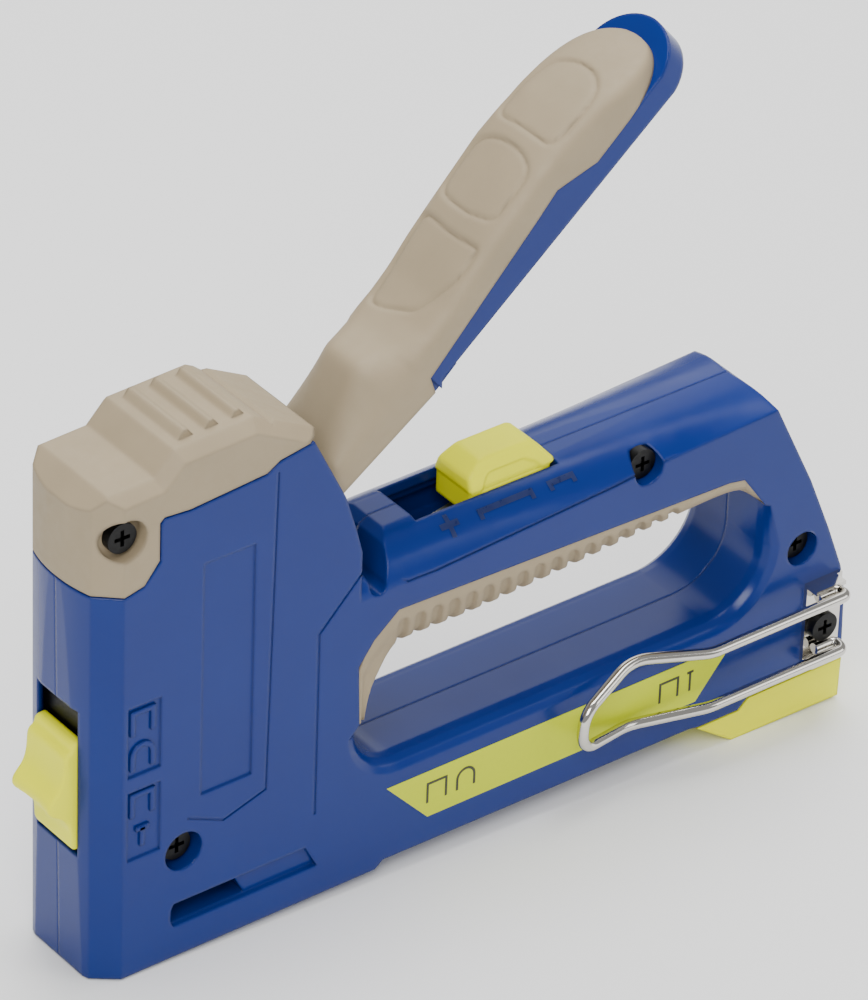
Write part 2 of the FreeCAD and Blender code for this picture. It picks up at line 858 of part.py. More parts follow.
# Where the beige grip meets the blue channel, from the step to the tip.
GRIP_EDGE = [(58.0, 1.8), (93.0, 6.3), (100.0, 7.4), (110.0, 3.2), (129.0, 4.0)]


def tip_corner(side, start, tip, reach):
    """The plan outline outside a rounded tip."""
    run = tip - start
    return [
        (start, side * reach),
        Arc((start + run * 0.75, side * reach * 0.72), (tip, side * 0.0)),
        (tip + 5, side * 0.0),
        (tip + 5, side * 18.0),
        (start, side * 18.0),
    ]


lever_channel = Piece("lever_channel", LEVER_PLACE)
lever_channel.pad(
    "XZ",
    -FRAME_HALF,
    FRAME_HALF,
    [
        (-5.0, -4.6),
        (24.0, -1.0),
        (53.5, -3.8),
        (60.0, -3.4),
        (60.0, 1.6),
        (54.0, 4.6),
        (6.0, 4.6),
        (0.0, 6.2),
        (-5.6, 3.0),
    ],
)
lever_channel.pad(
    "XZ",
    -LEVER_HALF,
    LEVER_HALF,
    [
        (54.0, -3.8),
        (55.5, -2.1),
        (LEVER_TIP + 1, -2.1),
        (LEVER_TIP + 1, 4.4),
        *reversed(GRIP_EDGE),
        (54.0, 1.3),
    ],
)
for side in (-1, 1):
    lever_channel.pocket("XY", -6, 10, tip_corner(side, 127.5, LEVER_TIP, LEVER_HALF))
lever_channel.pocket("XZ", -FRAME_INSIDE, FRAME_INSIDE, box(-12.0, 122.0, -8.0, 12.0))
lever_channel.pocket("XZ", -15, 15, Circle(0, 0, dim("pivot_radius") + 0.05))

lever_grip = Piece("lever_grip", LEVER_PLACE)
lever_grip.pad(
    "XZ",
    -GRIP_HALF,
    GRIP_HALF,
    [
        (19.0, 0.5),
        (24.0, -0.1),
        (52.5, -2.7),
        (54.0, 1.3),
        *GRIP_EDGE,
        (GRIP_TIP + 1, 4.3),
        (GRIP_TIP + 1, 5.4),
        Arc((128.0, 9.4), (119.0, 13.2)),
        Arc((104.0, 14.6), (89.7, 13.1)),
        (74.4, 11.5),
        Arc((64.0, 9.2), (55.0, 10.2)),
        (45.9, 14.0),
        (31.3, 8.2),
        (24.0, 5.2),
        (19.0, 4.2),
    ],
)
for side in (-1, 1):
    lever_grip.pocket("XY", -6, 20, tip_corner(side, 121.0, GRIP_TIP, GRIP_HALF))
lever_grip.pocket("XZ", -FRAME_HALF, FRAME_HALF, [(10, -6), (60.0, -6), (60.0, 1.7), (54.0, 4.7), (10, 4.7)])
lever_grip.pocket("XZ", -FRAME_INSIDE, FRAME_INSIDE, box(10.0, 86.0, -6.0, 5.6))

# The fork lifts the striker by its pin, which slides along the two slots.
PIN_OFFSET = LEVER_TURN.inverted().multVec(
    Vector(dim("lift_pin_x").value, 0, dim("lift_pin_z").value) - PIVOT
)
PIN_REACH = PIN_OFFSET.Length
SLOT_ALONG = PIN_OFFSET.normalize()
SLOT_ACROSS = Vector(SLOT_ALONG.z, 0, -SLOT_ALONG.x)
FORK_OUTSIDE = FRAME_INSIDE
FORK_INSIDE = FRAME_INSIDE - 1.2
RIVET_PLACE = (17.0, 1.6)


def fork_point(reach, across):
    """A point on the fork, along and across its slot."""
    point = SLOT_ALONG * reach + SLOT_ACROSS * across
    return (point.x, point.z)


lift_fork = Piece("lift_fork", LEVER_PLACE)
for side in (-1, 1):
    levels = sided(side, FORK_INSIDE, FORK_OUTSIDE)
    lift_fork.pad(
        "XZ",
        *levels,
        [
            fork_point(40.2, 5.3),
            fork_point(40.2, -5.3),
            fork_point(2.0, -5.6),
            (4.0, -4.0),
            (23.0, -0.4),
            (23.0, 4.2),
            (4.0, 5.4),
            fork_point(8.0, 5.6),
        ],
    )
lift_fork.pocket(
    "XZ",
    -12,
    12,
    [
        fork_point(PIN_REACH - 5.0, -2.9),
        fork_point(PIN_REACH + 2.9, -2.9),
        fork_point(PIN_REACH + 2.9, 2.9),
        fork_point(PIN_REACH - 5.0, 2.9),
    ],
)
lift_fork.pocket("XZ", -12, 12, Circle(0, 0, dim("pivot_radius") + 0.05))
lift_fork.pocket("XZ", -12, 12, Circle(*RIVET_PLACE, 1.5))
lever_channel.pocket("XZ", -12, 12, Circle(*RIVET_PLACE, 1.5))

fork_rivets = Piece("fork_rivets", LEVER_PLACE)
for side in (-1, 1):
    fork_rivets.pad("XZ", *sided(side, FORK_INSIDE - 0.8, FRAME_HALF), Circle(*RIVET_PLACE, 1.45))
    fork_rivets.pad("XZ", *sided(side, FORK_INSIDE - 0.8, FORK_INSIDE - 0.02), Circle(*RIVET_PLACE, 2.4))


def build_return_spring():
    """A torsion spring round the pivot pin, one leg under the lever and one on the shells."""
    radius, wire, pitch, turns = 4.2, 1.1, 1.2, 5.25
    length = pitch * turns
    helix = Part.makeHelix(pitch, length, radius, 0, True)
    ring = Part.Wire([Part.makeCircle(wire / 2, Vector(radius, 0, 0), Vector(0, 1, 0))])
    turned = Part.Wire(helix.Edges).makePipeShell([ring], True, True)
    shell_leg = Part.makeCylinder(wire / 2, 22.0, Vector(radius, 0, 0), Vector(0, 1, 0))
    lever_leg = Part.makeCylinder(wire / 2, 26.0, Vector(0, -radius, length), Vector(-1, 0, 0))
    return turned.fuse([shell_leg, lever_leg])


return_spring = doc.addObject("Part::Feature", "return_spring")
return_spring.Shape = build_return_spring()
UPRIGHT = Rotation(Vector(1, 0, 0), 90).multiply(Rotation(Vector(0, 0, 1), 180))
return_spring.Placement = Placement(PIVOT + Vector(0, 3.1, 0), LEVER_TURN.multiply(UPRIGHT))

# ---------------------------------------------------------------------------
# Selector and power slider
# ---------------------------------------------------------------------------
selector = Piece("width_selector")
selector.pad("YZ", -5.2, -4.35, box(-8.0, 8.0, 30.4, 60.2))
selector.pad("XZ", -7.0, 7.0, [(-5.2, 31.6), (-7.4, 31.6), (-7.9, 59.0), (-5.2, 59.0)])
selector.pad("XZ", -6.6, 6.6, [(-7.0, 40.4), (-10.2, 42.8), (-13.2, 43.4), (-13.2, 45.6), (-7.6, 50.6)])

power_slider = Piece("power_slider")
SLIDER_REAR = dim("slot_rear") - 0.2
power_slider.pad("XZ", -6.3, 6.3, box(95.2, SLIDER_REAR, 75.4, GRIP_TOP + 0.4))
power_slider.pad("XZ", -8.1, 8.1, box(96.0, SLIDER_REAR - 1.0, 75.2, 76.7))
power_slider.loft(
    "Additive",
    "XY",
    [
        (GRIP_TOP + 0.4, box(94.2, SLIDER_REAR, -6.5, 6.5)),
        (GRIP_TOP + 6.4, box(98.2, 111.8, -4.2, 4.2)),
    ],
)

detent = Piece("slider_detent")
detent.pad(
    "XZ",
    -3.0,
    3.0,
    [(76.0, 68.0), (127.0, 68.0), (127.0, 68.8), (104.0, 74.4), (101.0, 74.4), (76.0, 68.8)],
)
detent.pocket("XZ", -3.5, 3.5, [(79.0, 67.8), (124.0, 67.8), (103.6, 73.6), (101.4, 73.6)])

# ---------------------------------------------------------------------------
# Magazine
# ---------------------------------------------------------------------------
magazine_cap = Piece("magazine_cap")
magazine_cap.pad(
    "XZ",
    -HALF,
    HALF,
    [(154.6, 0.3), (164.7, -6.9), (195.4, -7.2), (195.7, 2.9), (168.9, 2.7), (166.3, 0.3)],
)
magazine_cap.pad("XZ", -6.7, 6.7, [(158.0, 0.2), (195.7, 0.2), (195.5, 14.8), (158.0, 14.8)])

RAIL_HALF = dim("rail_half_width")
RAIL_BOTTOM = dim("rail_bottom")
RAIL_TOP = dim("rail_top")
magazine_cap.pocket("XZ", -RAIL_HALF, RAIL_HALF, box(156.0, 170.0, RAIL_BOTTOM, RAIL_TOP))

rail = Piece("staple_rail")
rail.pad("XZ", -RAIL_HALF, RAIL_HALF, box(-1.2, 170.0, RAIL_BOTTOM, RAIL_TOP))
rail.pocket("XZ", -(RAIL_HALF - 0.9), RAIL_HALF - 0.9, box(-0.1, 180.0, 0, RAIL_TOP - 0.9))
rail.pocket("XY", 10, 15, box(0.4, 154.0, -1.3, 1.3))

guide_rod = Piece("guide_rod")
guide_rod.pad("YZ", -0.1, 170.0, Circle(0, dim("rod_z"), dim("rod_radius")))

pusher = Piece("pusher")
pusher.pad("XZ", -5.4, 5.4, box(-1.0, 14.0, 4.0, RAIL_TOP + 1.3))
pusher.pocket("XZ", -(RAIL_HALF + 0.15), RAIL_HALF + 0.15, box(-5.0, 30.0, 0, RAIL_TOP + 0.2))
pusher.pad("XZ", -1.1, 1.1, box(1.0, 10.0, 5.4, RAIL_TOP + 0.4))
pusher.pad("XZ", -2.6, 2.6, box(1.0, 10.0, 5.0, 10.4))
pusher.pocket("YZ", 0, 20, Circle(0, dim("rod_z"), dim("rod_radius") + 0.06))

coil(
    "pusher_spring",
    2.2,
    0.6,
    Vector(10.4, 0, dim("rod_z").value),
    158.8,
    22,
    Vector(1, 0, 0),
)

# ---------------------------------------------------------------------------
# Check every object, then write one file for each sub-part
# ---------------------------------------------------------------------------
doc.recompute()
for item in doc.Objects:
    if "Invalid" in item.State or "Error" in item.State:
        raise RuntimeError(f"{item.Name} failed: {item.State}")

sub_parts = [
    item
    for item in doc.Objects
    if item.TypeId == "PartDesign::Body" or item.TypeId == "Part::Feature"
]
for item in sub_parts:
    if item.Shape.isNull() or not item.Shape.isValid():
        raise RuntimeError(f"{item.Label} has no valid shape")
    item.Shape.exportStep(f"parts/{item.Label}.step")
    print(f"{item.Label}: {len(item.Shape.Solids)} solids, {item.Shape.Volume:.0f} mm3")
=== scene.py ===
import json
import math

import bmesh
import bpy
import numpy as np
from mathutils import Matrix, Vector


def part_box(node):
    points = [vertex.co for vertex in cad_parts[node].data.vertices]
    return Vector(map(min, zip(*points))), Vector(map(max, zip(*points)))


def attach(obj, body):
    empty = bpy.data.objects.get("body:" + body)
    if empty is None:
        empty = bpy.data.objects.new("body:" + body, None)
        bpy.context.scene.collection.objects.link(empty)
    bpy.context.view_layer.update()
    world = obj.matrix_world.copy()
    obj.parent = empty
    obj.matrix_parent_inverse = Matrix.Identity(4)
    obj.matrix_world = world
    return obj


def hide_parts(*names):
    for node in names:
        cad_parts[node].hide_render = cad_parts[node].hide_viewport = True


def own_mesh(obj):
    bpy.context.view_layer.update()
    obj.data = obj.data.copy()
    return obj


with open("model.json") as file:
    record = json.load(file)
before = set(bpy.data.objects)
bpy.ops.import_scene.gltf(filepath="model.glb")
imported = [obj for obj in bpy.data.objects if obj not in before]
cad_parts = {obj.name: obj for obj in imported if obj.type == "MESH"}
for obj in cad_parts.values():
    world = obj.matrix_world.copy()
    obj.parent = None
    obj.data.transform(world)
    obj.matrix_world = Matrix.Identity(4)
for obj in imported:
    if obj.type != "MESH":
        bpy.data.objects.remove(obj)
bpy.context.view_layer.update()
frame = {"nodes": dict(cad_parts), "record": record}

MM = 0.001
NODES = frame["nodes"]


# ---------------------------------------------------------------------------
# Camera, floor and light
# ---------------------------------------------------------------------------
VIEW_AZIMUTH = math.radians(-38.55)
VIEW_ELEVATION = math.radians(34.05)
VIEW_ROLL = math.radians(-2.2)
VIEW_DISTANCE = 1.4583
VIEW_AIM = Vector((0.0835, -0.0077, 0.0847))
LENS = 252.0


def view_axes():
    """The camera's right, up and back directions."""
    sin_a, cos_a = math.sin(VIEW_AZIMUTH), math.cos(VIEW_AZIMUTH)
    sin_e, cos_e = math.sin(VIEW_ELEVATION), math.cos(VIEW_ELEVATION)
    back = Vector((sin_a * cos_e, -cos_a * cos_e, sin_e))
    right = Vector((cos_a, sin_a, 0.0))
    up = back.cross(right)
    sin_r, cos_r = math.sin(VIEW_ROLL), math.cos(VIEW_ROLL)
    return right * cos_r - up * sin_r, right * sin_r + up * cos_r, back


def add_camera():
    """The photograph's viewpoint: from the nose's left, looking down."""
    right, up, back = view_axes()
    data = bpy.data.cameras.new("camera")
    data.lens = LENS
    data.clip_start = 0.05
    data.clip_end = 20.0
    camera = bpy.data.objects.new("camera", data)
    turn = Matrix((right, up, back)).transposed().to_4x4()
    camera.matrix_world = Matrix.Translation(VIEW_AIM + back * VIEW_DISTANCE) @ turn
    bpy.context.collection.objects.link(camera)
    bpy.context.scene.camera = camera


def add_area(name, place, target, size, power, colour=(1.0, 1.0, 1.0)):
    """A soft square light that faces the target."""
    data = bpy.data.lights.new(name, "AREA")
    data.energy = power
    data.size = size
    data.color = colour
    light = bpy.data.objects.new(name, data)
    light.location = place
    light.rotation_euler = (Vector(target) - Vector(place)).to_track_quat("-Z", "Y").to_euler()
    bpy.context.collection.objects.link(light)


def add_stage():
    """A pale floor that meets the nose and the magazine cap, and soft light all round."""
    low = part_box("magazine_cap")[0].z
    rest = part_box("magazine_cap")[0].x * 0.3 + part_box("magazine_cap")[1].x * 0.7
    slope = math.atan2(-low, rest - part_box("nose_plate")[0].x)
    bpy.ops.mesh.primitive_plane_add(size=8.0, location=(0.0, 0.0, -0.0006), rotation=(0.0, slope, 0.0))
    floor = bpy.context.object
    floor.name = "floor"
    material = bpy.data.materials.new("floor")
    material.use_nodes = True
    shader = material.node_tree.nodes["Principled BSDF"]
    shader.inputs["Base Color"].default_value = (0.9, 0.9, 0.9, 1.0)
    shader.inputs["Roughness"].default_value = 0.85
    floor.data.materials.append(material)
    world = bpy.data.worlds.new("studio")
    world.use_nodes = True
    world.node_tree.nodes["Background"].inputs["Color"].default_value = (1.0, 1.0, 1.0, 1.0)
    world.node_tree.nodes["Background"].inputs["Strength"].default_value = 0.42
    bpy.context.scene.world = world
    centre = (0.09, 0.0, 0.07)
    add_area("key", (-0.9, -1.1, 1.5), centre, 1.0, 30.0)
    add_area("top", (0.3, 0.2, 1.7), centre, 1.2, 34.0)
    add_area("side", (1.4, -1.2, 0.7), centre, 0.9, 6.0)
    add_area("back", (1.15, 1.45, 1.25), centre, 1.5, 11.0)


add_camera()
add_stage()


# ---------------------------------------------------------------------------
# Materials
# ---------------------------------------------------------------------------
class Finish:
    """A material under construction: a Principled shader and the nodes that feed it."""

    def __init__(self, name, colour, roughness, metallic=0.0):
        self.material = bpy.data.materials.new(name)
        self.material.use_nodes = True
        self.tree = self.material.node_tree
        self.shader = self.tree.nodes["Principled BSDF"]
        self.shader.inputs["Base Color"].default_value = (*colour, 1.0)
        self.shader.inputs["Roughness"].default_value = roughness
        self.shader.inputs["Metallic"].default_value = metallic
        self.colour = colour
        self.place = self.tree.nodes.new("ShaderNodeTexCoord")
        self.normal = None

    def noise(self, scale, detail=3.0, roughness=0.55, stretch=None):
        """A noise pattern fixed to the piece, in features per metre."""
        texture = self.tree.nodes.new("ShaderNodeTexNoise")
        texture.inputs["Scale"].default_value = scale
        texture.inputs["Detail"].default_value = detail
        texture.inputs["Roughness"].default_value = roughness
        source = self.place.outputs["Object"]
        if stretch:
            mapping = self.tree.nodes.new("ShaderNodeMapping")
            mapping.inputs["Scale"].default_value = stretch
            self.tree.links.new(source, mapping.inputs["Vector"])
            source = mapping.outputs["Vector"]
        self.tree.links.new(source, texture.inputs["Vector"])
        return texture.outputs["Fac"]

    def spread(self, value, low, high, from_low=0.3, from_high=0.7):
        """Maps a pattern's middle range onto low to high."""
        ranged = self.tree.nodes.new("ShaderNodeMapRange")
        ranged.inputs["From Min"].default_value = from_low
        ranged.inputs["From Max"].default_value = from_high
        ranged.inputs["To Min"].default_value = low
        ranged.inputs["To Max"].default_value = high
        self.tree.links.new(value, ranged.inputs["Value"])
        return ranged.outputs["Result"]

    def mottle(self, value, other, amount):
        """Varies the base colour towards another by a pattern."""
        mix = self.tree.nodes.new("ShaderNodeMix")
        mix.data_type = "RGBA"
        mix.inputs[6].default_value = (*self.colour, 1.0)
        mix.inputs[7].default_value = (*other, 1.0)
        self.tree.links.new(self.spread(value, 0.0, amount), mix.inputs[0])
        self.tree.links.new(mix.outputs[2], self.shader.inputs["Base Color"])
        return self

    def vary_roughness(self, value, low, high):
        """Varies the roughness by a pattern."""
        self.tree.links.new(self.spread(value, low, high), self.shader.inputs["Roughness"])
        return self

    def bump(self, value, depth, strength=1.0):
        """Adds relief of a real depth in metres, over whatever relief came before."""
        node = self.tree.nodes.new("ShaderNodeBump")
        node.inputs["Distance"].default_value = depth
        node.inputs["Strength"].default_value = strength
        self.tree.links.new(value, node.inputs["Height"])
        if self.normal:
            self.tree.links.new(self.normal, node.inputs["Normal"])
        self.normal = node.outputs["Normal"]
        self.tree.links.new(self.normal, self.shader.inputs["Normal"])
        return self

    def soft_edges(self, radius):
        """Rounds the sharp edges in shading."""
        node = self.tree.nodes.new("ShaderNodeBevel")
        node.samples = 6
        node.inputs["Radius"].default_value = radius
        self.normal = node.outputs["Normal"]
        self.tree.links.new(self.normal, self.shader.inputs["Normal"])
        return self


def make_finishes():
    """Every material, by the record's slot name."""
    made = {}

    blue = Finish("blue_plastic", (0.0008, 0.016, 0.150), 0.24)
    blue.soft_edges(1.0 * MM)
    blue.mottle(blue.noise(35.0, 4.0), (0.0012, 0.021, 0.175), 0.6)
    blue.vary_roughness(blue.noise(120.0, 3.0), 0.20, 0.27)
    blue.bump(blue.noise(900.0, 2.0), 0.0015 * MM)
    blue.shader.inputs["Specular IOR Level"].default_value = 0.28
    made["blue_plastic"] = blue

    beige = Finish("beige_rubber", (0.330, 0.262, 0.165), 0.62)
    beige.soft_edges(1.3 * MM)
    beige.mottle(beige.noise(60.0, 5.0), (0.285, 0.225, 0.140), 0.7)
    beige.vary_roughness(beige.noise(400.0, 4.0), 0.55, 0.7)
    beige.bump(beige.noise(4200.0, 3.0), 0.012 * MM)
    made["beige_rubber"] = beige

    yellow = Finish("yellow_plastic", (0.830, 0.840, 0.0), 0.45)
    yellow.soft_edges(1.0 * MM)
    yellow.mottle(yellow.noise(80.0, 4.0), (0.880, 0.870, 0.0), 0.6)
    yellow.shader.inputs["Specular IOR Level"].default_value = 0.25
    yellow.vary_roughness(yellow.noise(500.0, 3.0), 0.36, 0.48)
    yellow.bump(yellow.noise(4800.0, 2.0), 0.007 * MM)
    made["yellow_plastic"] = yellow

    label = Finish("label_film", (0.540, 0.620, 0.0), 0.42)
    label.mottle(label.noise(900.0, 2.0), (0.570, 0.650, 0.0), 0.5)
    label.shader.inputs["Specular IOR Level"].default_value = 0.25
    label.bump(label.noise(2600.0, 2.0), 0.003 * MM)
    made["label_film"] = label

    steel = Finish("steel", (0.46, 0.44, 0.41), 0.28, 1.0)
    steel.soft_edges(0.15 * MM)
    steel.vary_roughness(steel.noise(300.0, 4.0, stretch=(1.0, 1.0, 12.0)), 0.18, 0.34)
    steel.bump(steel.noise(2400.0, 3.0, stretch=(1.0, 1.0, 14.0)), 0.004 * MM)
    made["steel"] = steel

    wire = Finish("bright_wire", (0.60, 0.58, 0.54), 0.10, 1.0)
    wire.vary_roughness(wire.noise(260.0, 4.0), 0.06, 0.14)
    wire.bump(wire.noise(1500.0, 2.0, stretch=(0.4, 1.0, 1.0)), 0.003 * MM)
    made["bright_wire"] = wire

    spring = Finish("spring_steel", (0.32, 0.32, 0.33), 0.34, 1.0)
    spring.vary_roughness(spring.noise(600.0, 3.0), 0.28, 0.42)
    spring.bump(spring.noise(3000.0, 2.0), 0.003 * MM)
    made["spring_steel"] = spring

    # Near-black: the screws' own colour. The nose plate takes this finish through its record slot, and there
    # the near-black is painted shade for the window above the selector.
    screw_and_window_shade = Finish("black_oxide", (0.0015, 0.0015, 0.0015), 0.36)
    screw_and_window_shade.shader.inputs["Specular IOR Level"].default_value = 0.2
    screw_and_window_shade.soft_edges(0.12 * MM)
    screw_and_window_shade.vary_roughness(screw_and_window_shade.noise(900.0, 3.0), 0.28, 0.5)
    screw_and_window_shade.bump(screw_and_window_shade.noise(4000.0, 3.0), 0.005 * MM)
    made["black_oxide"] = screw_and_window_shade

    zinc = Finish("zinc", (0.46, 0.46, 0.47), 0.45, 1.0)
    zinc.soft_edges(0.2 * MM)
    zinc.vary_roughness(zinc.noise(500.0, 4.0), 0.38, 0.55)
    zinc.bump(zinc.noise(3600.0, 3.0), 0.008 * MM)
    made["zinc"] = zinc

    buffer = Finish("buffer_rubber", (0.018, 0.018, 0.018), 0.7)
    buffer.mottle(buffer.noise(300.0, 3.0), (0.028, 0.028, 0.028), 0.8)
    buffer.bump(buffer.noise(3000.0, 3.0), 0.01 * MM)
    made["buffer_rubber"] = buffer

    ink = Finish("ink", (0.020, 0.024, 0.010), 0.5)
    ink.mottle(ink.noise(1500.0, 3.0), (0.035, 0.040, 0.015), 0.6)
    ink.vary_roughness(ink.noise(1200.0, 3.0), 0.42, 0.58)
    made["ink"] = ink

    # Darker blue for the grip marks: painted shade in place of the shade in their engraved grooves.
    mark = Finish("painted_groove_shade", (0.001, 0.008, 0.070), 0.3)
    mark.mottle(mark.noise(300.0, 3.0), (0.002, 0.012, 0.090), 0.6)
    mark.vary_roughness(mark.noise(600.0, 3.0), 0.25, 0.4)
    made["painted_groove_shade"] = mark

    return {name: finish.material for name, finish in made.items()}


FINISHES = make_finishes()
SLOT_OF = {item["node"]: item["material_slot"] for item in frame["record"]["subparts"]}
# The record's slot under each mark that has a finish of its own.
# The nose plate gets the black oxide finish here: painted shade for the window above the selector.
for node, piece in NODES.items():
    piece.data.materials.clear()
    piece.data.materials.append(FINISHES[SLOT_OF[node]])


# ---------------------------------------------------------------------------
# Mesh helpers: all lengths in millimetres
# ---------------------------------------------------------------------------
def smooth_line(control, count):
    """A clamped cubic B-spline through a control polygon, as count points."""
    points = np.array(control, float)
    points = np.vstack([points[:1]] * 2 + [points] + [points[-1:]] * 2)
    spans = len(points) - 3
    where = np.linspace(0.0, spans - 1e-9, count)
    start = where.astype(int)
    u = (where - start)[:, None]
    weights = (
        (1 - u) ** 3 / 6,
        (3 * u**3 - 6 * u**2 + 4) / 6,
        (-3 * u**3 + 3 * u**2 + 3 * u + 1) / 6,
        u**3 / 6,
    )
    return sum(weight * points[start + step] for step, weight in enumerate(weights))


def rounded_loop(corners, radius, steps=6):
    """A closed outline in two coordinates with its corners rounded."""
    points = []
    corners = np.array(corners, float)
    for index, corner in enumerate(corners):
        before = corners[index - 1] - corner
        after = corners[(index + 1) % len(corners)] - corner
        reach = min(radius, 0.48 * np.linalg.norm(before), 0.48 * np.linalg.norm(after))
        first = corner + before / np.linalg.norm(before) * reach
        last = corner + after / np.linalg.norm(after) * reach
        for u in np.linspace(0.0, 1.0, steps):
            points.append((1 - u) ** 2 * first + 2 * u * (1 - u) * corner + u**2 * last)
    return np.array(points)


def ring_mesh(rings, wrap=True, ends=True):
    """Vertices and faces of a skin over rings that have one number of points."""
    rings = np.array(rings, float)
    rows, count = rings.shape[:2]
    vertices = rings.reshape(-1, 3)
    faces = []
    for row in range(rows - 1):
        for column in range(count if wrap else count - 1):
            following = (column + 1) % count
            here, beyond = row * count, (row + 1) * count
            faces.append((here + column, here + following, beyond + following, beyond + column))
    if ends:
        faces.append(tuple(reversed(range(count))))
        faces.append(tuple(range((rows - 1) * count, rows * count)))
    return vertices, faces


def add_piece(name, vertices, faces, slot, body, place=None, replaced=(), sharp=35.0):
    """Makes a piece from millimetre vertices and ties it to its CAD body."""
    mesh = bpy.data.meshes.new(name)
    mesh.from_pydata([tuple(point * MM) for point in np.array(vertices, float)], [], faces)
    build = bmesh.new()
    build.from_mesh(mesh)
    bmesh.ops.remove_doubles(build, verts=build.verts, dist=1e-7)
    bmesh.ops.recalc_face_normals(build, faces=build.faces)
    build.to_mesh(mesh)
    build.free()
    for face in mesh.polygons:
        face.use_smooth = True
    mesh.set_sharp_from_angle(angle=math.radians(sharp))
    piece = bpy.data.objects.new(name, mesh)
    bpy.context.collection.objects.link(piece)
    if place is not None:
        mesh.transform(place)
    mesh.materials.append(FINISHES[slot])
    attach(piece, body)
    if replaced:
        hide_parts(*replaced)
    return piece


def outline_distance(points, outline):
    """Distance from each point to a closed outline, below zero inside it."""
    points = np.array(points, float)
    starts = np.array(outline, float)
    ends = np.roll(starts, -1, axis=0)
    best = np.full(len(points), 1e9)
    inside = np.zeros(len(points), bool)
    for start, end in zip(starts, ends):
        run = end - start
        share = np.clip(((points - start) @ run) / max(run @ run, 1e-12), 0, 1)
        best = np.minimum(best, np.linalg.norm(points - start - share[:, None] * run, axis=1))
        crosses = (start[1] > points[:, 1]) != (end[1] > points[:, 1])
        slope = run[0] / run[1] if abs(run[1]) > 1e-12 else 0.0
        inside ^= crosses & (points[:, 0] < start[0] + (points[:, 1] - start[1]) * slope)
    return np.where(inside, -best, best)


def softened(value):
    """A smooth step from 0 to 1."""
    value = np.clip(value, 0.0, 1.0)
    return value * value * (3 - 2 * value)


# ---------------------------------------------------------------------------
# Lever grip: along the lever from the pivot (s), across it (y), above it (t)
# ---------------------------------------------------------------------------
PIVOT = (38.0, 0.0, 83.0)
LEVER_ANGLE = math.radians(40.2)
GRIP_HALF = 11.5
GRIP_START = 19.0
GRIP_TIP = 136.0
TIP_START = 119.0
GRIP_STEP = 0.45
# Places along the grip where its edge turns, which each get a section of their own.
GRIP_CORNERS = [52.5, 54.0, 58.0, 93.0, 100.0, 110.0, 135.7, GRIP_TIP]
SECTION_POINTS = 97
GRIP_TOP_LINE = [
    (19.0, 4.2), (24.0, 5.2), (31.3, 8.2), (38.6, 11.2), (45.6, 14.1), (46.6, 14.1), (50.0, 12.1),
    (54.0, 10.3),
    (60.0, 9.3), (67.0, 9.8), (74.4, 11.4), (82.0, 12.4), (89.7, 13.3), (98.0, 14.2), (106.0, 14.7),
    (113.0, 14.4),
    (119.0, 13.2), (124.0, 11.6), (128.5, 9.9), (132.0, 8.2), (134.5, 6.6), (136.0, 4.9),
]
GRIP_EDGE_LINE = [
    (19.0, 0.5), (24.0, -0.1), (52.5, -2.7), (54.0, 1.3), (58.0, 1.8), (93.0, 6.3), (100.0, 7.4),
    (110.0, 3.2),
    (129.0, 4.0), (136.0, 4.3),
]
PADS = [
    [(59.0, 8.6), (68.2, 9.6), (79.4, 9.6), (80.3, 8.2), (79.7, 0.0), (80.3, -8.2), (79.4, -8.6),
     (73.8, -9.0), (62.4, -3.4),
     (61.0, 0.0), (59.0, 5.0)],
    [(85.6, 9.6), (92.0, 9.7), (98.9, 9.2), (101.6, 3.6), (101.6, -3.6), (98.9, -8.4), (91.5, -8.2),
     (86.6, -7.6),
     (84.8, 0.0)],
    [(105.2, 9.2), (113.3, 9.4), (120.7, 8.0), (123.8, 3.0), (123.8, -3.0), (120.7, -7.4), (114.6, -9.2),
     (105.6, -8.6),
     (105.9, 0.0)],
]


def lever_place():
    """Turns lever coordinates (s, y, t) into the row frame, in metres."""
    along = Vector((math.cos(LEVER_ANGLE), 0.0, math.sin(LEVER_ANGLE)))
    above = Vector((-math.sin(LEVER_ANGLE), 0.0, math.cos(LEVER_ANGLE)))
    turn = Matrix((along, (0.0, 1.0, 0.0), above)).transposed().to_4x4()
    return Matrix.Translation(Vector(PIVOT) * MM) @ turn


def grip_section(along, top, edge):
    """The grip's outside across the lever at one place, from its left edge over to its right."""
    reach = GRIP_HALF
    if along > TIP_START:
        reach *= max(0.0002, 1 - ((along - TIP_START) / (GRIP_TIP - TIP_START)) ** 2.4) ** (1 / 2.4)
    rise = top - edge
    foot = 1 - softened((along - 44.0) / 16.0)
    flat = (5.6 * foot + 7.4 * (1 - foot)) * reach / GRIP_HALF
    main = [
        (reach, edge),
        (reach, edge + 0.4 * rise),
        (reach - 0.15, top - 0.22 * rise),
        (flat + 1.6, top - 0.1),
        (flat * 0.5, top + 0.1),
    ]
    base = [
        (reach, edge),
        (reach, edge + 0.25 * rise),
        (reach - 0.1, max(edge + 0.55 * rise, min(6.4, top - 0.3))),
        (flat + 0.4, top - 0.1),
        (flat * 0.5, top),
    ]
    half = [np.array(b) * foot + np.array(m) * (1 - foot) for b, m in zip(base, main)]
    left = [(-y, t) for y, t in half]
    right = [tuple(point) for point in reversed(half)]
    return smooth_line([*left, (0.0, half[-1][1]), *right], SECTION_POINTS)


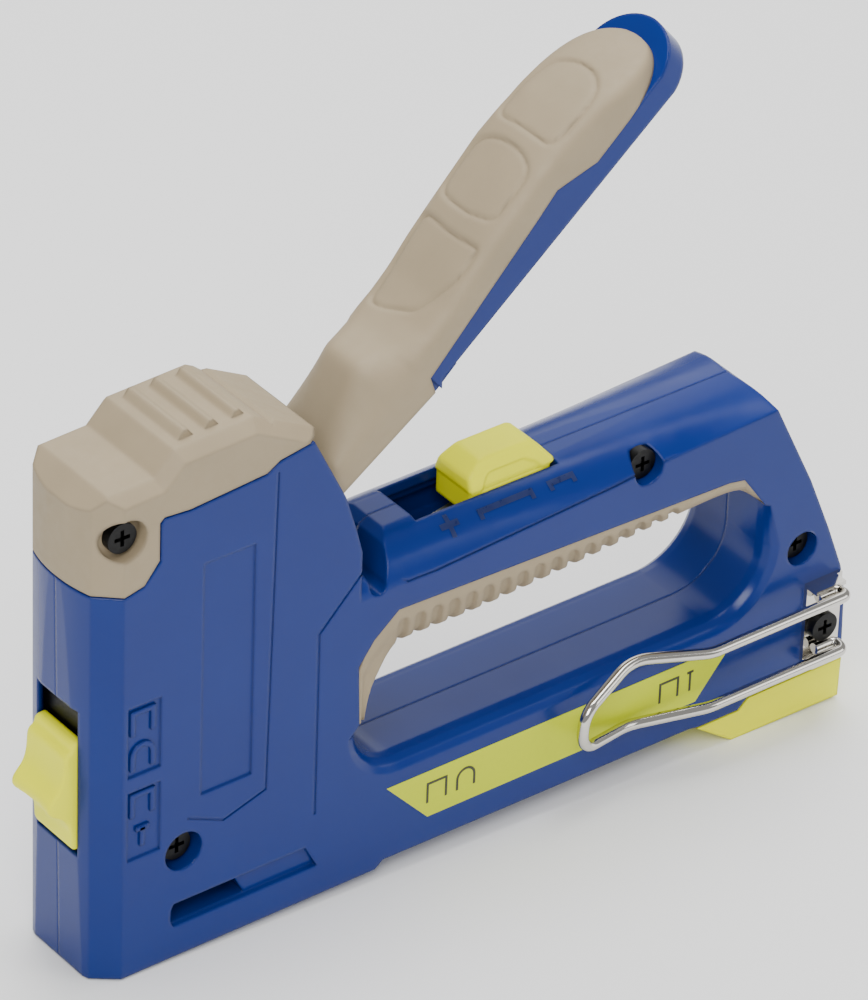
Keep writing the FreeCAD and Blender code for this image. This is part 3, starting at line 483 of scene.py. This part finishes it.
def add_lever_grip():
    """The lever's soft grip: a shouldered foot, a hollow for the thumb and three outlined pads."""
    stations = np.unique(np.concatenate([np.arange(GRIP_START, GRIP_TIP, GRIP_STEP), GRIP_CORNERS]))
    fine = np.arange(GRIP_START - 12, GRIP_TIP + 12, 0.1)
    table = np.array(GRIP_TOP_LINE)
    raw = np.interp(fine, table[:, 0], table[:, 1])
    kernel = np.exp(-0.5 * (np.arange(-60, 61) * 0.1 / 1.3) ** 2)
    tops = np.interp(stations, fine, np.convolve(raw, kernel / kernel.sum(), mode="same"))
    table = np.array(GRIP_EDGE_LINE)
    edges = np.interp(stations, table[:, 0], table[:, 1])
    rings = []
    for along, top, edge in zip(stations, tops, edges):
        section = grip_section(along, max(top, edge + 0.3), edge)
        reach = max(0.1, section[-1][0] - 1.2)
        inner = max(min(max(4.8, edge + 0.05), top - 1.6), edge + 0.02)
        inside = [(reach, edge), (reach, inner), (-reach, inner), (-reach, edge)]
        rings.append([(along, y, t) for y, t in [*section, *inside]])
    rings = np.array(rings)
    skin = rings[:, :SECTION_POINTS].reshape(-1, 3)
    drop = np.zeros(len(skin))
    for pad in PADS:
        away = outline_distance(skin[:, :2], rounded_loop(pad, 3.0))
        drop += 0.75 * np.exp(-((away / 0.45) ** 2)) + 0.3 * softened(-away / 1.0)
    low = np.repeat(edges, SECTION_POINTS)
    rise = np.repeat(tops - edges, SECTION_POINTS)
    upper = softened((skin[:, 2] - low - 0.35 * rise) / 1.5)
    skin[:, 2] -= drop * upper
    skin[:, 1] -= 0.7 * drop * upper * softened((np.abs(skin[:, 1]) - 6.0) / 4.0) * np.sign(skin[:, 1])
    rings[:, :SECTION_POINTS] = skin.reshape(len(rings), SECTION_POINTS, 3)
    vertices, faces = ring_mesh(rings)
    add_piece("lever_grip_soft", vertices, faces, "beige_rubber", "lever", lever_place(), ("lever_grip",))


# ---------------------------------------------------------------------------
# Finger insert: a soft liner with finger notches on both its flanks
# ---------------------------------------------------------------------------
BODY_HALF = 14.3
INSERT_OUTER = [
    (60.6, 40.4), (60.0, 55.3), (63.8, 60.6), (70.1, 65.9), (159.4, 63.5), (163.6, 62.7), (170.0, 53.7),
]
# How far along the outer line each place on the inner line meets it.
GUIDE_ALONG = [62.4, 63.4, 66.2, 70.0, 78.0, 160.0, 166.0, 171.2]
GUIDE_SHARE = [0.0, 0.10, 0.17, 0.205, 0.262, 0.86, 0.93, 1.0]
INSERT_INNER = [
    (62.4, 41.0), (63.6, 46.0), (66.2, 50.2), (70.0, 52.4), (78.0, 52.9), (90.0, 52.2), (118.0, 53.9),
    (150.0, 57.2),
    (160.0, 57.9), (166.0, 57.1), (171.2, 52.6),
]
NOTCH_FIRST = 73.2
NOTCH_PITCH = 4.6
NOTCH_COUNT = 17
NOTCH_START = 0.31
FLANK_POINTS = 61


def along_path(points, share):
    """The point at a share of a path's length."""
    points = np.array(points, float)
    lengths = np.concatenate([[0.0], np.cumsum(np.linalg.norm(np.diff(points, axis=0), axis=1))])
    where = share * lengths[-1]
    return np.stack([np.interp(where, lengths, points[:, axis]) for axis in (0, 1)], axis=-1)


def add_finger_insert():
    """The liner: each section runs from the side wall, round the flank and across the inside."""
    inner = smooth_line(INSERT_INNER, 700)
    outer = np.array(INSERT_OUTER)
    shares = np.linspace(0.0, 1.0, 620)
    rings = []
    for share in shares:
        low = along_path(inner, share)
        guide = np.interp(low[0], GUIDE_ALONG, GUIDE_SHARE)
        if low[0] < 64.5:
            guide = np.interp(low[1], [41.0, 46.5, 48.0], [0.0, 0.085, 0.12])
        high = along_path(outer, guide)
        run = low - high
        length = float(np.linalg.norm(run))
        slim = 6.4 if low[0] > 74 else 6.4 + 5.4 * softened((74 - low[0]) / 10.0)
        half = [
            (0.0, BODY_HALF), (0.12, BODY_HALF), (0.30, BODY_HALF - 0.05), (0.52, BODY_HALF - 1.1),
            (0.80, (BODY_HALF + slim) / 2 + 1.4), (0.97, slim + 1.1), (1.0, slim - 1.6), (1.0, slim - 4.5),
            (1.0, 0.0),
        ]
        section = smooth_line(half, FLANK_POINTS)
        steps = np.linspace(0.0, 1.0, FLANK_POINTS)
        spot = high + np.outer(section[:, 0], run)
        notch = np.zeros(FLANK_POINTS)
        if 71.0 < low[0] < 150.5:
            number = round((low[0] - NOTCH_FIRST) / NOTCH_PITCH)
            centre = NOTCH_FIRST + NOTCH_PITCH * min(max(number, 0), NOTCH_COUNT - 1)
            across = np.abs(low[0] - centre)
            beyond = np.maximum(0.0, (NOTCH_START - steps) * length * 1.9)
            away = np.hypot(across, beyond)
            notch = 1.0 * softened((1.5 - away) / 0.4) * softened((0.86 - steps) / 0.12)
        left = [(x, -(y - cut), z + 0.25 * cut) for (x, z), y, cut in zip(spot, section[:, 1], notch)]
        right = [(x, y - cut, z + 0.25 * cut) for (x, z), y, cut in zip(spot, section[:, 1], notch)]
        rings.append([*left, *reversed(right[:-1])])
    vertices, faces = ring_mesh(rings)
    add_piece("finger_insert_soft", vertices, faces, "beige_rubber", "housing", None, ("finger_insert",))


# ---------------------------------------------------------------------------
# Width selector and power slider
# ---------------------------------------------------------------------------
SELECTOR_HALF = 6.95
# Each section's place across the selector, and how far in its rim is drawn there.
SELECTOR_SECTIONS = [
    (-SELECTOR_HALF, 1.0), (-6.9, 0.55), (-6.6, 0.2), (-6.1, 0.0), (-3.0, 0.0), (0.0, 0.0),
    (3.0, 0.0), (6.1, 0.0), (6.6, 0.2), (6.9, 0.55), (SELECTOR_HALF, 1.0),
]


def add_selector():
    """The yellow slide on the nose: a plate with a scooped finger ridge across it."""
    profile = smooth_line(
        [
            (-5.0, 31.6), (-6.4, 31.6), (-7.5, 31.9), (-7.5, 34.4), (-7.8, 37.5), (-9.4, 40.4),
            (-12.2, 42.0), (-13.6, 43.3),
            (-13.4, 45.4), (-11.4, 47.2), (-9.9, 50.0), (-9.5, 53.2), (-9.4, 55.6), (-8.7, 56.6),
            (-7.6, 57.0), (-7.5, 58.2),
            (-6.9, 59.0), (-5.0, 59.0),
        ],
        96,
    )
    centre = np.array((-6.0, 45.3))
    rings = []
    for across, shrink in SELECTOR_SECTIONS:
        ring = []
        for x, z in profile:
            away = np.array((x, z)) - centre
            scale = 1 - shrink * 0.8 / max(np.linalg.norm(away), 1.0)
            dish = 0.7 * (1 - (across / SELECTOR_HALF) ** 2) * softened((-x - 8.6) / 2.5)
            ring.append((centre[0] + away[0] * scale + dish, across, centre[1] + away[1] * scale))
        rings.append(ring)
    vertices, faces = ring_mesh(rings)
    slot, replaced = "yellow_plastic", ("width_selector",)
    add_piece("width_selector_soft", vertices, faces, slot, "selector", None, replaced, sharp=60.0)


def add_power_slider():
    """The yellow slide on the grip: a long tapered button with a sunk panel on each flank."""
    levels = [
        (75.4, 94.5, 116.0, 6.3), (80.8, 94.5, 116.0, 6.3), (81.2, 94.3, 116.6, 6.45),
        (81.5, 94.2, 116.8, 6.5), (82.0, 94.2, 116.7, 6.4),
        (83.9, 94.3, 115.1, 5.75), (84.5, 94.6, 114.6, 5.5), (85.0, 95.1, 114.2, 5.3),
        (86.7, 97.3, 112.6, 4.6), (87.1, 98.0, 112.1, 4.3),
        (87.35, 98.8, 111.5, 3.8), (87.4, 99.8, 110.6, 3.0), (87.4, 104.0, 106.0, 0.3),
    ]
    levels = np.array(levels)
    fine = np.linspace(0, len(levels) - 1, 90)
    places = np.arange(len(levels))
    levels = np.stack([np.interp(fine, places, levels[:, axis]) for axis in range(4)], axis=-1)
    corners = [(97.0, 80.4), (98.2, 83.0), (99.6, 84.5), (109.2, 84.5), (112.6, 82.6), (113.6, 80.4)]
    panel = rounded_loop(corners, 0.8)
    rings = []
    for up, front, rear, half in levels:
        corners = [(front, -half), (rear, -half), (rear, half), (front, half)]
        corner = min(1.0, half * 0.8)
        loop = []
        for start, end in zip(corners, corners[1:] + corners[:1]):
            start, end = np.array(start), np.array(end)
            run = (end - start) / np.linalg.norm(end - start)
            straight = end - start - 2 * run * corner
            loop.extend(start + run * corner + straight * u for u in np.linspace(0, 1, 40))
            side = np.array((-run[1], run[0]))
            pivot = end - run * corner + side * corner
            for u in np.linspace(0, math.pi / 2, 7)[1:-1]:
                loop.append(pivot - side * corner * math.cos(u) + run * corner * math.sin(u))
        loop = np.array(loop)
        flank = np.abs(loop[:, 1]) > half - 0.05
        away = outline_distance(np.stack([loop[:, 0], np.full(len(loop), up)], axis=-1), panel)
        sunk = 0.7 * softened(-away / 0.45) * flank
        loop[:, 1] -= np.sign(loop[:, 1]) * sunk
        rings.append([(x, y, up - 0.4 * cut) for (x, y), cut in zip(loop, sunk)])
    vertices, faces = ring_mesh(rings)
    replaced = ("power_slider",)
    add_piece("power_slider_soft", vertices, faces, "yellow_plastic", "power", None, replaced, sharp=50.0)


# ---------------------------------------------------------------------------
# Coil springs
# ---------------------------------------------------------------------------
MAIN_TURNS, MAIN_WIRE = 7, 2.0
PUSHER_TURNS, PUSHER_WIRE = 22, 0.6


def add_coil(name, node, body, along, turns, wire):
    """A coil spring in its CAD node's room."""
    low, high = (np.array(corner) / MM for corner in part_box(node))
    axis = np.eye(3)[along]
    first, second = np.eye(3)[(along + 1) % 3], np.eye(3)[(along + 2) % 3]
    centre = (low + high) / 2
    radius = (high[(along + 1) % 3] - low[(along + 1) % 3] - wire) / 2
    start, length = low[along] + wire / 2, high[along] - low[along] - wire
    around = np.linspace(0, 2 * math.pi, 15)[:-1]
    rings = []
    for turn in np.linspace(0.0, turns, turns * 40 + 1):
        angle = 2 * math.pi * turn
        outward = first * math.cos(angle) + second * math.sin(angle)
        spot = centre - axis * centre[along] + axis * (start + length * turn / turns) + outward * radius
        rings.append([spot + (outward * math.cos(u) + axis * math.sin(u)) * wire / 2 for u in around])
    vertices, faces = ring_mesh(rings)
    piece = add_piece(name, vertices, faces, SLOT_OF[node], body, None, (node,), sharp=60.0)
    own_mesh(piece)


# ---------------------------------------------------------------------------
# Pictograms and marks
# ---------------------------------------------------------------------------
def stroke(points, width):
    """The outline of a bent line with a width, in two coordinates, with square ends."""
    points = np.array(points, float)
    runs = np.diff(points, axis=0)
    runs /= np.linalg.norm(runs, axis=1)[:, None]
    sides = np.stack([-runs[:, 1], runs[:, 0]], axis=-1)
    left, right = [], []
    for index, point in enumerate(points):
        first = sides[max(index - 1, 0)]
        last = sides[min(index, len(sides) - 1)]
        mean = (first + last) / np.linalg.norm(first + last)
        reach = width / 2 / max(0.5, mean @ last)
        left.append(point + mean * reach)
        right.append(point - mean * reach)
    return left, right


def stroke_mesh(lines, width, base, top):
    """Raised lines from the base height to the top, as vertices (a, b, height) and faces."""
    vertices, faces = [], []
    for line in lines:
        left, right = stroke(line, width)
        rings = [[(*a, base), (*a, top), (*b, top), (*b, base)] for a, b in zip(left, right)]
        found, made = ring_mesh(rings)
        faces.extend(tuple(index + len(vertices) for index in face) for face in made)
        vertices.extend(found)
    return np.array(vertices), faces


def arch(low, high, base, top, rounded):
    """A staple's outline standing on two legs: square, or with a round crown."""
    if not rounded:
        return [(low, base), (low, top), (high, top), (high, base)]
    radius = (high - low) / 2
    turns = np.linspace(math.pi, 0.0, 13)
    crown = [((low + high) / 2 + radius * math.cos(u), top - radius + radius * math.sin(u)) for u in turns]
    return [(low, base), *crown, (high, base)]


def brad(at, base, top, reach):
    """A headed nail: its shank and its head."""
    return [[(at, base), (at, top)], [(at - reach, top), (at + reach, top)]]


LABEL_STROKE = 0.62
LABEL_DEPTHS = (14.30, 14.50)
NOSE_STROKE = 1.2
NOSE_DEPTHS = (13.7, 14.3)
GRIP_STROKE = 1.15
GRIP_MARK_LIFT = 0.12


def add_side_marks():
    """Staple shapes: dark on the label, raised in the two panels on the nose."""
    flat = Matrix(((1, 0, 0, 0), (0, 0, -1, 0), (0, 1, 0, 0), (0, 0, 0, 1)))
    lines = [
        arch(79.4, 84.4, 12.0, 17.0, False),
        arch(87.4, 92.0, 12.0, 17.0, True),
        arch(143.0, 148.0, 12.0, 17.0, False),
    ]
    lines += brad(151.4, 12.0, 17.0, 0.9)
    vertices, faces = stroke_mesh(lines, LABEL_STROKE, *LABEL_DEPTHS)
    add_piece("label_pictograms", vertices, faces, "ink", "housing", flat)

    lines = [
        arch(2.4, 7.5, 61.2, 66.8, False),
        arch(2.4, 7.5, 52.4, 58.4, True),
        arch(2.4, 7.5, 40.5, 46.0, False),
    ]
    lines += brad(5.0, 32.6, 37.2, 1.7)
    vertices, faces = stroke_mesh(lines, NOSE_STROKE, *NOSE_DEPTHS)
    add_piece("nose_pictograms", vertices, faces, "blue_plastic", "housing", flat)


def add_grip_marks():
    """The plus and the two bars beside the power slide, as thin darker blue sheets laid just over the shell:
    painted shade standing in for their engraved grooves.
    """
    depsgraph = bpy.context.evaluated_depsgraph_get()
    shell = NODES["left_shell"].evaluated_get(depsgraph)

    def surface(across, side):
        place, normal = shell.ray_cast(Vector((across, side, 100.0)) * MM, Vector((0, 0, -1)))[1:3]
        return place / MM, normal

    lines = [
        [(83.6, -10.0), (88.4, -10.0)],
        [(86.0, -7.9), (86.0, -12.1)],
        [(94.0, -11.3), (94.0, -9.9), (107.6, -9.9), (107.6, -11.3)],
        [(112.6, -11.3), (112.6, -9.9), (118.6, -9.9), (118.6, -11.3)],
    ]
    vertices, faces = [], []
    for line in lines:
        dense = [np.array(line[0])]
        for start, end in zip(line, line[1:]):
            count = max(2, int(np.hypot(*(np.array(end) - start)) / 0.4))
            dense.extend(np.array(start) + (np.array(end) - start) * u for u in np.linspace(0, 1, count)[1:])
        left, right = stroke(dense, GRIP_STROKE)
        rows = []
        for a, b in zip(left, right):
            row = []
            for spot in (a, (np.array(a) + b) / 2, b):
                place, normal = surface(*spot)
                row.append(place + normal * GRIP_MARK_LIFT)
            rows.append(row)
        found, made = ring_mesh(rows, wrap=False, ends=False)
        faces.extend(tuple(index + len(vertices) for index in face) for face in made)
        vertices.extend(found)
    add_piece("grip_marks", vertices, faces, "painted_groove_shade", "housing")


add_lever_grip()
add_finger_insert()
add_selector()
add_power_slider()
UPWARD, TAILWARD = 2, 0
add_coil(
    "main_spring_coil",
    "main_spring",
    "housing",
    UPWARD,
    MAIN_TURNS,
    MAIN_WIRE,
)
add_coil(
    "pusher_spring_coil",
    "pusher_spring",
    "magazine",
    TAILWARD,
    PUSHER_TURNS,
    PUSHER_WIRE,
)
add_side_marks()
add_grip_marks()
